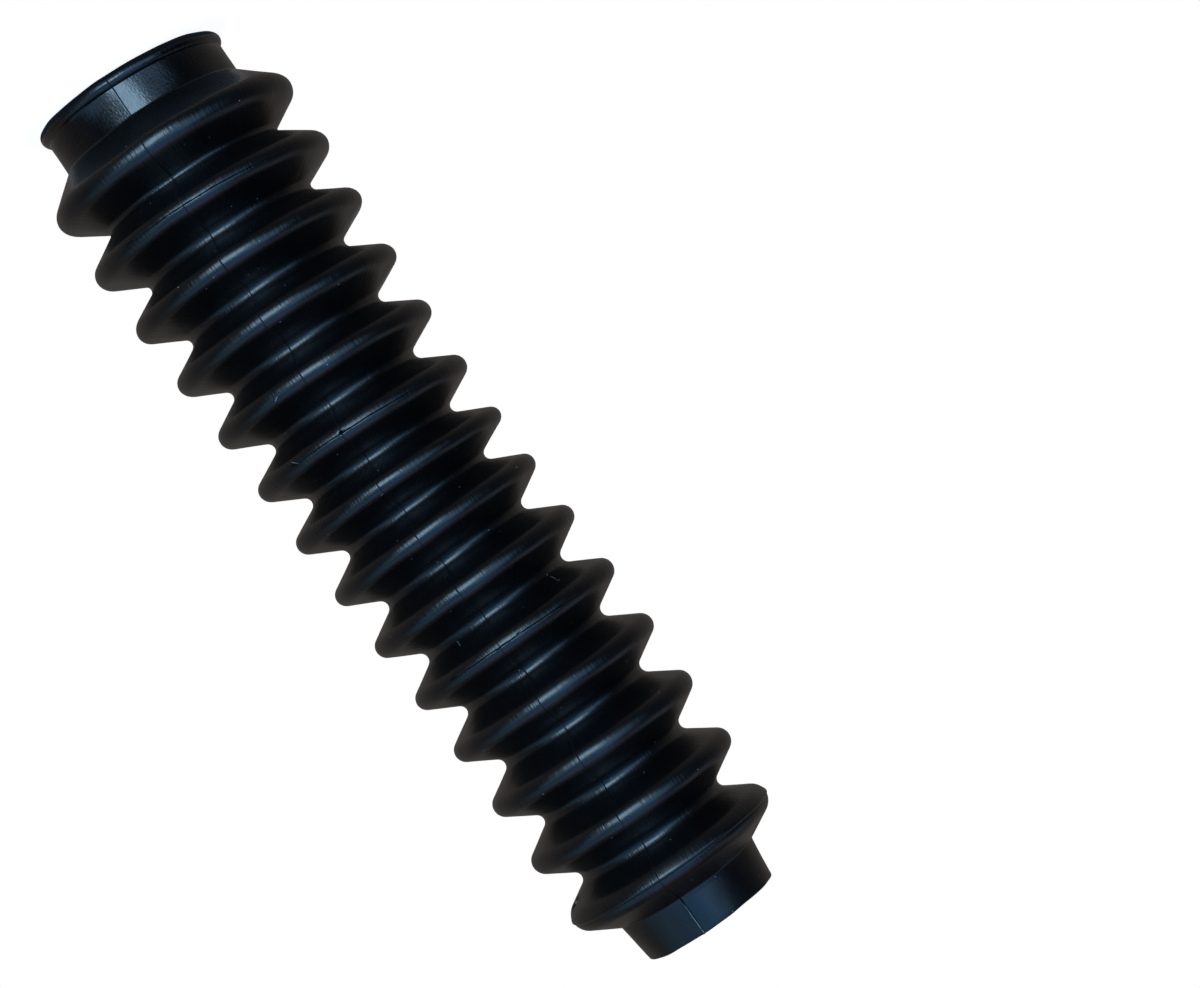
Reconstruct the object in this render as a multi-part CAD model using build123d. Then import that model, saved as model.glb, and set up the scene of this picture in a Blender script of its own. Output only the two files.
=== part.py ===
"""Rubber bellows boot: one moulded dust cover, fourteen convolutions between two cuffs.

The boot stands on its large cuff. Z runs up its axis, the origin is the centre of the large cuff's end
face, and the mould's parting line faces the front (-Y). Sizes are millimetres and degrees, for the
straight, unstretched boot as it leaves its mould.

The wall is one closed section turned about Z. Its outer and inner outlines are belts: straight flanks
drawn tangent to a row of circles, over the crests and under the roots. Both belts share their circles'
centres, so the wall keeps its thickness all along the convolutions.
"""

from build123d import *

import os
from math import asin, atan2, cos, degrees, hypot, sin
from typing import NamedTuple

# Convolutions
CONVOLUTIONS = 14
PITCH = 19.15                   # crest to crest
WALL = 2.0                      # in the convolutions
CREST_ROUND = 3.55              # outer radius of an ordinary crest, seen in section
FIRST_CREST_ROUND = 4.3         # the first crest is fuller
LAST_CREST_ROUND = 4.4          # the last one is flatter and carries the ridge
ROOT_ROUND = 2.35               # outer radius of an ordinary root
FIRST_ROOT_ROUND = 1.3          # the first root is pinched

# Envelope: roots and crests taper evenly over the whole length, and swell at the large end into a shoulder
LAST_ROOT_R = 23.8              # outside the wall
CONVOLUTION_DEPTH = 10.1        # from that root to its crest
CREST_TAPER = 0.185             # radius gained at each crest towards the large end
CREST_SHOULDER = 2.95           # further radius gained on the shoulder
CREST_SHOULDER_CURVE = 1.3      # 1 is a straight cone, more is a hollow one
CREST_SHOULDER_TOP = 1          # the crests below this number stand at the full shoulder
ROOT_TAPER = 0.05
ROOT_SHOULDER = 4.1
ROOT_SHOULDER_CURVE = 1.0
ROOT_SHOULDER_TOP = 0
SHOULDER_LENGTH = 4             # in pitches, for crests and roots alike

# Ridge that the mould's split leaves round the last crest
RIDGE_HEIGHT = 0.35
RIDGE_HALF_WIDTH = 1.3

# Large cuff, with a bead round its mouth
LARGE_CUFF_BORE_R = 25.5
LARGE_CUFF_WALL = 3.0
LARGE_CUFF_LENGTH = 13.2
LARGE_CUFF_TO_FIRST_CREST = 11.6
BEAD_ROUND = 2.2
BEAD_STAND = 1.3                # how far the bead stands proud of the cuff

# Small cuff, drafted towards its mouth
SMALL_CUFF_BORE_R = 19.0
SMALL_CUFF_MOUTH_WALL = 2.3
SMALL_CUFF_DRAFT = 1.4          # what its outer radius gains from the mouth to the convolutions
SMALL_CUFF_LENGTH = 11.9
LAST_CREST_TO_SMALL_CUFF = 9.25
MOUTH_ROUND = 0.6               # outer edge of the small cuff's mouth
CUFF_CORNER_ROUND = 1.0         # outer corner where each cuff meets its convolution

# Breather hole, square to the flank below the last crest
VENT_D = 3.8
VENT_BELOW_CREST = 4.2          # from the last crest's radius in to the hole's centre
VENT_AZIMUTH = -10.0            # from +X, counter-clockwise seen from above
VENT_TOOL_REACH = 4.0           # how far the cutter passes each side of the flank's face

OVER, UNDER = 1, -1


class Round(NamedTuple):
    """A circle that an outline wraps: centre (r, z), radius, and the side on which the belt passes."""

    r: float
    z: float
    radius: float
    side: int


def corner(r, z):
    """A sharp corner of an outline: a circle of no radius."""
    return Round(r, z, 0, OVER)


def shoulder(number, top, curve):
    """Share of the shoulder's swell at a crest or root, counted from the large end: 1 falling to 0."""
    remaining = (top + SHOULDER_LENGTH - number) / SHOULDER_LENGTH
    return min(max(remaining, 0), 1) ** curve


def crest_r(number):
    """Outer radius of the boot at a crest."""
    swell = CREST_SHOULDER * shoulder(number, CREST_SHOULDER_TOP, CREST_SHOULDER_CURVE)
    return LAST_ROOT_R + CONVOLUTION_DEPTH + CREST_TAPER * (CONVOLUTIONS - 1 - number) + swell


def root_r(number):
    """Outer radius of the boot at the root that follows a crest."""
    swell = ROOT_SHOULDER * shoulder(number, ROOT_SHOULDER_TOP, ROOT_SHOULDER_CURVE)
    return LAST_ROOT_R + ROOT_TAPER * (CONVOLUTIONS - 2 - number) + swell


def crest_z(number):
    """Height of a crest."""
    return LARGE_CUFF_LENGTH + LARGE_CUFF_TO_FIRST_CREST + PITCH * number


def crest_round(number):
    """Outer radius of a crest in section, less the ridge on the last one."""
    if number == 0:
        return FIRST_CREST_ROUND
    return LAST_CREST_ROUND if number == CONVOLUTIONS - 1 else CREST_ROUND


def convolution_rounds(wall):
    """The crests' and roots' circles, for the outline that lies a wall's thickness inside the outer one."""
    rounds = []
    for number in range(CONVOLUTIONS):
        radius = crest_round(number)
        tip_r = crest_r(number) - (RIDGE_HEIGHT if number == CONVOLUTIONS - 1 else 0)
        rounds.append(Round(tip_r - radius, crest_z(number), radius - wall, OVER))
        if number < CONVOLUTIONS - 1:
            radius = FIRST_ROOT_ROUND if number == 0 else ROOT_ROUND
            rounds.append(Round(root_r(number) + radius, crest_z(number) + PITCH / 2, radius + wall, UNDER))
    return rounds


large_cuff_r = LARGE_CUFF_BORE_R + LARGE_CUFF_WALL
large_corner_r = large_cuff_r + CUFF_CORNER_ROUND
bead_centre_r = large_cuff_r + BEAD_STAND - BEAD_ROUND

mouth_r = SMALL_CUFF_BORE_R + SMALL_CUFF_MOUTH_WALL
small_corner_r = mouth_r + SMALL_CUFF_DRAFT + CUFF_CORNER_ROUND
small_cuff_z = crest_z(CONVOLUTIONS - 1) + LAST_CREST_TO_SMALL_CUFF
top_z = small_cuff_z + SMALL_CUFF_LENGTH


def outer_rounds():
    """Circles of the outer outline, from the end face up to the small cuff's mouth."""
    return [
        corner(bead_centre_r, 0),
        corner(bead_centre_r, BEAD_ROUND),
        corner(large_cuff_r, BEAD_ROUND),
        Round(large_corner_r, LARGE_CUFF_LENGTH, CUFF_CORNER_ROUND, UNDER),
        *convolution_rounds(0),
        Round(small_corner_r, small_cuff_z, CUFF_CORNER_ROUND, UNDER),
        Round(mouth_r - MOUTH_ROUND, top_z - MOUTH_ROUND, MOUTH_ROUND, OVER),
        corner(mouth_r - MOUTH_ROUND, top_z),
    ]


def inner_rounds():
    """Circles of the inner outline: the two bores are straight, and meet the flanks in wide curves."""
    return [
        corner(LARGE_CUFF_BORE_R, 0),
        Round(large_corner_r, LARGE_CUFF_LENGTH, large_corner_r - LARGE_CUFF_BORE_R, UNDER),
        *convolution_rounds(WALL),
        Round(small_corner_r, small_cuff_z, small_corner_r - SMALL_CUFF_BORE_R, UNDER),
        corner(SMALL_CUFF_BORE_R, top_z),
    ]


def flank(start, end):
    """Straight run of a belt between two circles: its slope from the axis, in radians, and its two ends."""
    rise, climb = end.z - start.z, end.r - start.r
    lean = (end.side * end.radius - start.side * start.radius) / hypot(rise, climb)
    slope = atan2(climb, rise) + asin(lean)
    ends = [
        (a.r + a.side * a.radius * cos(slope), a.z - a.side * a.radius * sin(slope))
        for a in (start, end)
    ]
    return slope, ends


def belt(rounds):
    """Edges of the outline that wraps a row of circles, as (r, z) curves in order."""
    runs = [flank(start, end) for start, end in zip(rounds, rounds[1:])]
    edges = []
    for index, (slope, ends) in enumerate(runs):
        if index and rounds[index].radius:
            turn = rounds[index]
            middle = (runs[index - 1][0] + slope) / 2
            reach = turn.side * turn.radius
            apex = (turn.r + reach * cos(middle), turn.z - reach * sin(middle))
            edges.append(ThreePointArc(runs[index - 1][1][1], apex, ends[0]))
        edges.append(Line(*ends))
    return edges


def wall_section():
    """Half section of the boot's wall, drawn with r across and z up."""
    outside, inside = belt(outer_rounds()), belt(inner_rounds())
    base = Line(inside[0] @ 0, outside[0] @ 0)
    mouth = Line(outside[-1] @ 1, inside[-1] @ 1)
    wall = make_face([*outside, mouth, *inside, base])
    return wall + bead_section() + ridge_section()


def bead_section():
    """The outward half of the round bead at the large cuff's mouth."""
    half = Circle(BEAD_ROUND) & Pos(BEAD_ROUND, 0) * Rectangle(2 * BEAD_ROUND, 2 * BEAD_ROUND)
    return Pos(bead_centre_r, BEAD_ROUND) * half


def ridge_section():
    """The low peak round the last crest, sunk to the middle of the wall beneath it."""
    last = CONVOLUTIONS - 1
    tip_r, z = crest_r(last), crest_z(last)
    foot_r = tip_r - RIDGE_HEIGHT - LAST_CREST_ROUND + (LAST_CREST_ROUND**2 - RIDGE_HALF_WIDTH**2) ** 0.5
    seat_r = tip_r - RIDGE_HEIGHT - WALL / 2
    outline = Polyline(
        (seat_r, z - RIDGE_HALF_WIDTH),
        (foot_r, z - RIDGE_HALF_WIDTH),
        (tip_r, z),
        (foot_r, z + RIDGE_HALF_WIDTH),
        (seat_r, z + RIDGE_HALF_WIDTH),
        close=True,
    )
    return make_face(outline)


def vent():
    """Cutter for the breather hole, through the flank between the last root and the last crest."""
    last_root, last_crest = convolution_rounds(0)[-2:]
    slope, (low, high) = flank(last_root, last_crest)
    centre_r = crest_r(CONVOLUTIONS - 1) - VENT_BELOW_CREST
    share = (centre_r - low[0]) / (high[0] - low[0])
    z = low[1] + share * (high[1] - low[1])
    cutter = Cylinder(VENT_D / 2, 2 * VENT_TOOL_REACH)
    return Rot(Z=VENT_AZIMUTH) * Pos(X=centre_r, Z=z) * Rot(Y=90 + degrees(slope)) * cutter


def bellows_boot():
    """The whole boot: its wall turned about the axis, less the breather hole."""
    return revolve(Plane.XZ * wall_section(), Axis.Z) - vent()


os.makedirs("parts", exist_ok=True)
export_step(bellows_boot(), "parts/bellows_boot.step")
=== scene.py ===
"""Rubber bellows boot: the moulded black skin, its studio and its camera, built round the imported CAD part.

The boot stands on its large cuff on the floor, z = 0, with Z up its axis. Azimuths are degrees about Z,
counted from the front (-Y) towards +X. Sizes are millimetres until a mesh, lamp or camera is placed, which
turns them to metres.

The skin is one closed mesh: rings of the wall's section, outside up, inside down. It follows the same
section as the CAD part, and adds what the moulding and its life in a box have done to it: the parting line,
the split lines round three crests, the ridge on the last one, a slight bend and a squeezed pair of
convolutions.
"""

import logging
import math
from dataclasses import dataclass, field
from enum import Enum
from typing import Any, ClassVar, NamedTuple, Sequence

import bpy
import numpy as np
from mathutils import Matrix, Vector


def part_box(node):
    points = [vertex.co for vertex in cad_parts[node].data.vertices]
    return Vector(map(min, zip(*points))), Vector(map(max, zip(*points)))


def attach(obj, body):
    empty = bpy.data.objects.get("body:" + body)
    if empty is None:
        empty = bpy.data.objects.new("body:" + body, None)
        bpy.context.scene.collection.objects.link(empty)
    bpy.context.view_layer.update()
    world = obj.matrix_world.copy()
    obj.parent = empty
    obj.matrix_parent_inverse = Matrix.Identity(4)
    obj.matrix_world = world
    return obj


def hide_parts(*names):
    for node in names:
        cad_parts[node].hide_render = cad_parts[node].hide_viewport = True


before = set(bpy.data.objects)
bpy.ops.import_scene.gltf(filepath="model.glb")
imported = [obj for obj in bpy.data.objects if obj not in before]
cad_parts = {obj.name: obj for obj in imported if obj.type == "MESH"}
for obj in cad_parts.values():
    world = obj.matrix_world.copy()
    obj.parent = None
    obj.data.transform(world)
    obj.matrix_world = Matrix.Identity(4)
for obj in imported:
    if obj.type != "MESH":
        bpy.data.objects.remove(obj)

NODE = "bellows_boot"
BODY = "root"
MM = 0.001  # metres in a millimetre
FULL_TURN = 360.0  # degrees
WHITE = "#ffffff"
RIPPLE_PHASE = 1.7  # radians from one sine of a ripple to the next, so that they don't all start together

log = logging.getLogger("bellows_boot")


# ------------------------------------------------------------------------------------------------ helpers


def smooth(start: float, end: float, value: np.ndarray) -> np.ndarray:
    """Rise smoothly from 0 at start to 1 at end.

    Args:
        start: Where the rise begins.
        end: Where it is complete.
        value: Places at which it is wanted.

    Returns:
        The share risen at each place.
    """
    share = np.clip((value - start) / (end - start), 0.0, 1.0)
    return share * share * (3.0 - 2.0 * share)


def bump(offset: np.ndarray, width: float | np.ndarray) -> np.ndarray:
    """Bell curve of height 1 at no offset, which has fallen to a third at one width."""
    return np.exp(-((offset / width) ** 2))


def ripple(place: np.ndarray, *rates: float) -> np.ndarray:
    """Irregular wave of height about 1, the sum of one sine for each rate.

    Args:
        place: Places at which it is wanted.
        rates: Radians a unit of place for each sine.

    Returns:
        The wave at each place.
    """
    waves = [np.sin(place * rate + RIPPLE_PHASE * index) for index, rate in enumerate(rates)]
    return sum(waves) / math.sqrt(len(rates))


def linear(hex_colour: str) -> tuple[float, float, float, float]:
    """Turn an sRGB hex colour into the linear values that shaders take.

    Args:
        hex_colour: The colour, such as "#1a1b1e".

    Returns:
        Linear red, green and blue, and an alpha of 1.
    """
    channels = [int(hex_colour[start:start + 2], 16) / 255.0 for start in (1, 3, 5)]
    return (*(c / 12.92 if c <= 0.04045 else ((c + 0.055) / 1.055) ** 2.4 for c in channels), 1.0)


def add_node(
    tree: bpy.types.NodeTree, kind: str, inputs: dict[str | int, Any] | None = None, **settings: Any
) -> bpy.types.Node:
    """Add a node with its settings, its input values and its incoming links.

    Args:
        tree: The node tree that takes it.
        kind: The node's type name.
        inputs: Input names or numbers, each with a value, with the socket that feeds it, or with the node
            whose first output does.
        settings: Values of the node's own properties.

    Returns:
        The new node.
    """
    node = tree.nodes.new(kind)
    for name, value in settings.items():
        setattr(node, name, value)
    for name, value in (inputs or {}).items():
        source = value.outputs[0] if isinstance(value, bpy.types.Node) else value
        if isinstance(source, bpy.types.NodeSocket):
            tree.links.new(source, node.inputs[name])
        else:
            node.inputs[name].default_value = source
    return node


# ------------------------------------------------------------------------------------------ wall's section


class Side(Enum):
    """The side of a circle on which an outline passes it."""

    OVER = 1
    UNDER = -1


class Round(NamedTuple):
    """A circle that an outline wraps, seen in section.

    Attributes:
        r: Distance of its middle from the boot's axis.
        z: Height of its middle.
        radius: Its radius, 0 at a sharp corner.
        side: The side on which the outline passes it.
        crest: Number of the crest that it makes, if it makes one.
    """

    r: float
    z: float
    radius: float
    side: Side
    crest: int | None = None

    @property
    def reach(self) -> float:
        """Radius with the sign of the side on which the outline passes."""
        return self.side.value * self.radius


class Row(NamedTuple):
    """One ring of the skin.

    Attributes:
        r: Its radius.
        z: Its height.
        slope: Slope of the section there, in radians from the axis.
        crest: Number of the crest whose round it lies on, or -1.
        apex: Distance from that crest's apex along the section.
    """

    r: float
    z: float
    slope: float
    crest: int = -1
    apex: float = math.inf


def sharp(r: float, z: float) -> Round:
    """A sharp corner of an outline: a circle of no radius."""
    return Round(r, z, 0.0, Side.OVER)


def tangent(start: Round, end: Round) -> float:
    """Slope from the axis, in radians, of the straight run between two circles that an outline wraps."""
    rise, climb = end.z - start.z, end.r - start.r
    return math.atan2(climb, rise) + math.asin((end.reach - start.reach) / math.hypot(rise, climb))


def touch(circle: Round, slope: float) -> tuple[float, float]:
    """Point of a circle, as (r, z), where its outline has a given slope."""
    return circle.r + circle.reach * math.cos(slope), circle.z - circle.reach * math.sin(slope)


@dataclass
class WallSection:
    """Section of the moulded wall, with the sizes of the CAD part.

    Roots and crests taper evenly over the whole length, and swell at the large end into a shoulder.

    Attributes:
        length: Whole length of the boot.
        crest_reach: Largest outer radius, at the first crest.
        convolutions: Number of crests.
        pitch: Distance from crest to crest.
        wall: Thickness in the convolutions.
        crest_round: Outer radius of an ordinary crest's section.
        first_crest_round: The same of the first crest.
        last_crest_round: The same of the last crest.
        root_round: Outer radius of an ordinary root's section.
        first_root_round: The same of the first root.
        depth: From the last root to its crest.
        crest_taper: Radius gained at each crest towards the large end.
        crest_shoulder: Further radius gained on the shoulder.
        crest_shoulder_curve: 1 makes a straight cone of it, more a hollow one.
        crest_shoulder_top: Number of the last crest that stands at the full shoulder.
        root_taper: Radius gained at each root towards the large end.
        root_shoulder: Further radius that the roots gain on the shoulder.
        root_shoulder_curve: The same choice for their cone.
        root_shoulder_top: Number of the last root that stands at the full shoulder.
        shoulder_length: Length of the shoulder in pitches, for crests and roots alike.
        ridge_height: Height of the ridge round the last crest.
        large_bore: Inner radius of the large cuff.
        large_wall: Its wall.
        large_length: Its length.
        large_to_crest: From its end to the first crest.
        bead_round: Radius of the bead's section, round its mouth.
        bead_stand: How far the bead stands proud of it.
        small_bore: Inner radius of the small cuff.
        small_mouth_wall: Its wall at the mouth.
        small_draft: What its outer radius gains from the mouth to the convolutions.
        small_length: Its length.
        mouth_round: Outer edge of its mouth.
        corner_round: Hollow corner where each cuff meets its convolution.
    """

    length: float
    crest_reach: float
    convolutions: int = 14
    pitch: float = 19.15
    wall: float = 2.0
    crest_round: float = 3.55
    first_crest_round: float = 4.3
    last_crest_round: float = 4.4
    root_round: float = 2.35
    first_root_round: float = 1.3
    depth: float = 10.1
    crest_taper: float = 0.185
    crest_shoulder: float = 2.95
    crest_shoulder_curve: float = 1.3
    crest_shoulder_top: int = 1
    root_taper: float = 0.05
    root_shoulder: float = 4.1
    root_shoulder_curve: float = 1.0
    root_shoulder_top: int = 0
    shoulder_length: int = 4
    ridge_height: float = 0.35
    large_bore: float = 25.5
    large_wall: float = 3.0
    large_length: float = 13.2
    large_to_crest: float = 11.6
    bead_round: float = 2.2
    bead_stand: float = 1.3
    small_bore: float = 19.0
    small_mouth_wall: float = 2.3
    small_draft: float = 1.4
    small_length: float = 11.9
    mouth_round: float = 0.6
    corner_round: float = 1.0

    @property
    def last(self) -> int:
        """Number of the last crest, counted from 0 at the large cuff."""
        return self.convolutions - 1

    @property
    def last_crest_r(self) -> float:
        """Outer radius at the last crest, worked back from the widest one."""
        return self.crest_reach - self.crest_shoulder - self.crest_taper * self.last

    @property
    def large_r(self) -> float:
        """Outer radius of the large cuff."""
        return self.large_bore + self.large_wall

    @property
    def bead_r(self) -> float:
        """Radius at the middle of the bead's section."""
        return self.large_r + self.bead_stand - self.bead_round

    @property
    def mouth_r(self) -> float:
        """Outer radius of the small cuff at its mouth."""
        return self.small_bore + self.small_mouth_wall

    @property
    def large_corner(self) -> Round:
        """Hollow corner between the large cuff and the first convolution."""
        return Round(self.large_r + self.corner_round, self.large_length, self.corner_round, Side.UNDER)

    @property
    def small_corner(self) -> Round:
        """Hollow corner between the last convolution and the small cuff."""
        r = self.mouth_r + self.small_draft + self.corner_round
        return Round(r, self.length - self.small_length, self.corner_round, Side.UNDER)

    def shoulder(self, number: int, top: int, curve: float) -> float:
        """Share of the shoulder's swell at a crest or root, 1 at the large end and falling to 0."""
        remaining = (top + self.shoulder_length - number) / self.shoulder_length
        return min(max(remaining, 0.0), 1.0) ** curve

    def crest_r(self, number: int) -> float:
        """Work out the outer radius at a crest.

        Args:
            number: Number of the crest.

        Returns:
            The radius.
        """
        share = self.shoulder(number, self.crest_shoulder_top, self.crest_shoulder_curve)
        taper = self.crest_taper * (self.last - number)
        return self.last_crest_r + taper + self.crest_shoulder * share

    def root_r(self, number: int) -> float:
        """Outer radius at the root that follows a crest."""
        swell = self.root_shoulder * self.shoulder(number, self.root_shoulder_top, self.root_shoulder_curve)
        return self.last_crest_r - self.depth + self.root_taper * (self.last - 1 - number) + swell

    def crest_z(self, number: int) -> float:
        """Height of a crest."""
        return self.large_length + self.large_to_crest + self.pitch * number

    def crest_circle(self, number: int, inset: float) -> Round:
        """Circle of a crest.

        Args:
            number: Number of the crest.
            inset: How far the outline lies inside the outer one.

        Returns:
            The circle that this outline wraps.
        """
        radius = {0: self.first_crest_round, self.last: self.last_crest_round}.get(number, self.crest_round)
        tip = self.crest_r(number) - (self.ridge_height if number == self.last else 0.0)
        return Round(tip - radius, self.crest_z(number), radius - inset, Side.OVER, number)

    def root_circle(self, number: int, inset: float) -> Round:
        """Circle of the root that follows a crest.

        Args:
            number: Number of the crest.
            inset: How far the outline lies inside the outer one.

        Returns:
            The circle that this outline wraps.
        """
        radius = self.first_root_round if number == 0 else self.root_round
        z = self.crest_z(number) + self.pitch / 2
        return Round(self.root_r(number) + radius, z, radius + inset, Side.UNDER)

    def convolution_circles(self, inset: float) -> list[Round]:
        """Circles of all crests and roots.

        Args:
            inset: How far the outline lies inside the outer one.

        Returns:
            The circles, from the large end.
        """
        circles = [self.crest_circle(0, inset)]
        for number in range(self.last):
            circles += [self.root_circle(number, inset), self.crest_circle(number + 1, inset)]
        return circles

    def outer_circles(self) -> list[Round]:
        """Lay out the outer outline above the bead.

        Returns:
            The circles that it wraps, from the large end.
        """
        edge = self.mouth_round
        rim_r = self.mouth_r - edge
        return [
            sharp(self.large_r, self.bead_top_z()),
            self.large_corner,
            *self.convolution_circles(0.0),
            self.small_corner,
            Round(rim_r, self.length - edge, edge, Side.OVER),
            sharp(rim_r, self.length),
        ]

    def inner_circles(self) -> list[Round]:
        """Lay out the inner outline, whose two bores are straight.

        Returns:
            The circles that it wraps, from the large end.
        """
        large = self.large_corner._replace(radius=self.large_corner.r - self.large_bore)
        small = self.small_corner._replace(radius=self.small_corner.r - self.small_bore)
        return [
            sharp(self.large_bore, 0.0),
            large,
            *self.convolution_circles(self.wall),
            small,
            sharp(self.small_bore, self.length),
        ]

    def bead_top_z(self) -> float:
        """Height at which the bead's round runs into the cuff."""
        stand = self.large_r - self.bead_r
        return self.bead_round + math.sqrt(self.bead_round**2 - stand**2)


@dataclass
class RowPlan:
    """How finely an outline is cut into rows.

    Attributes:
        crest_steps: Steps round a crest.
        root_steps: Steps round a root or a hollow corner.
        flank_shares: Places of the rows on a straight flank, as shares of it, its ends left out.
        vent_crest: Number of the crest at the far end of the flank that the breather hole goes through.
        vent_steps: Even steps on that flank.
        least_gap: Rows nearer together than this count as one, in millimetres.
        apex_rows: For a crest with fine detail, the rows wanted each side of its apex, in millimetres.
    """

    crest_steps: int
    root_steps: int
    flank_shares: tuple[float, ...]
    vent_crest: int
    vent_steps: int = 12
    least_gap: float = 0.001
    apex_rows: dict[int, tuple[float, ...]] = field(default_factory=dict)

    def turn(self, circle: Round, start: float, end: float) -> list[Row]:
        """Rows round one circle.

        Args:
            circle: The circle.
            start: Slope at which the outline meets it.
            end: Slope at which the outline leaves it.

        Returns:
            The rows, with both ends.
        """
        steps = self.root_steps if circle.side is Side.UNDER else self.crest_steps
        slopes = [float(slope) for slope in np.linspace(start, end, steps + 1)]
        offsets = self.apex_rows.get(circle.crest, ())
        if offsets:
            fine = {side * offset / circle.radius for offset in offsets for side in (-1, 1)}
            reach = (2 * offsets[-1] - offsets[-2]) / circle.radius
            coarse = [slope for slope in slopes if abs(slope) > reach]
            slopes = sorted(coarse + list(fine), reverse=True)
        crest = -1 if circle.crest is None else circle.crest
        return [Row(*touch(circle, slope), slope, crest, -slope * circle.radius) for slope in slopes]

    def rows(self, circles: Sequence[Round]) -> list[Row]:
        """Cut an outline into rows.

        Args:
            circles: The circles that it wraps, in order.

        Returns:
            The rows from its first corner to its last.
        """
        slopes = [tangent(start, end) for start, end in zip(circles, circles[1:])]
        rows = [Row(circles[0].r, circles[0].z, slopes[0])]
        for index, (start, end) in enumerate(zip(circles, circles[1:])):
            slope = slopes[index]
            low, high = touch(start, slope), touch(end, slope)
            shares = self.flank_shares
            if end.crest == self.vent_crest:
                shares = tuple(np.arange(1, self.vent_steps) / self.vent_steps)
            rows += [Row(*(a + share * (b - a) for a, b in zip(low, high)), slope) for share in shares]
            if end.radius:
                rows += self.turn(end, slope, slopes[index + 1])
        rows.append(Row(circles[-1].r, circles[-1].z, slopes[-1]))
        gaps = [math.hypot(b.r - a.r, b.z - a.z) for a, b in zip(rows, rows[1:])]
        return rows[:1] + [row for row, gap in zip(rows[1:], gaps) if gap > self.least_gap]


# --------------------------------------------------------------------------------- what moulding left on it


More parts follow.
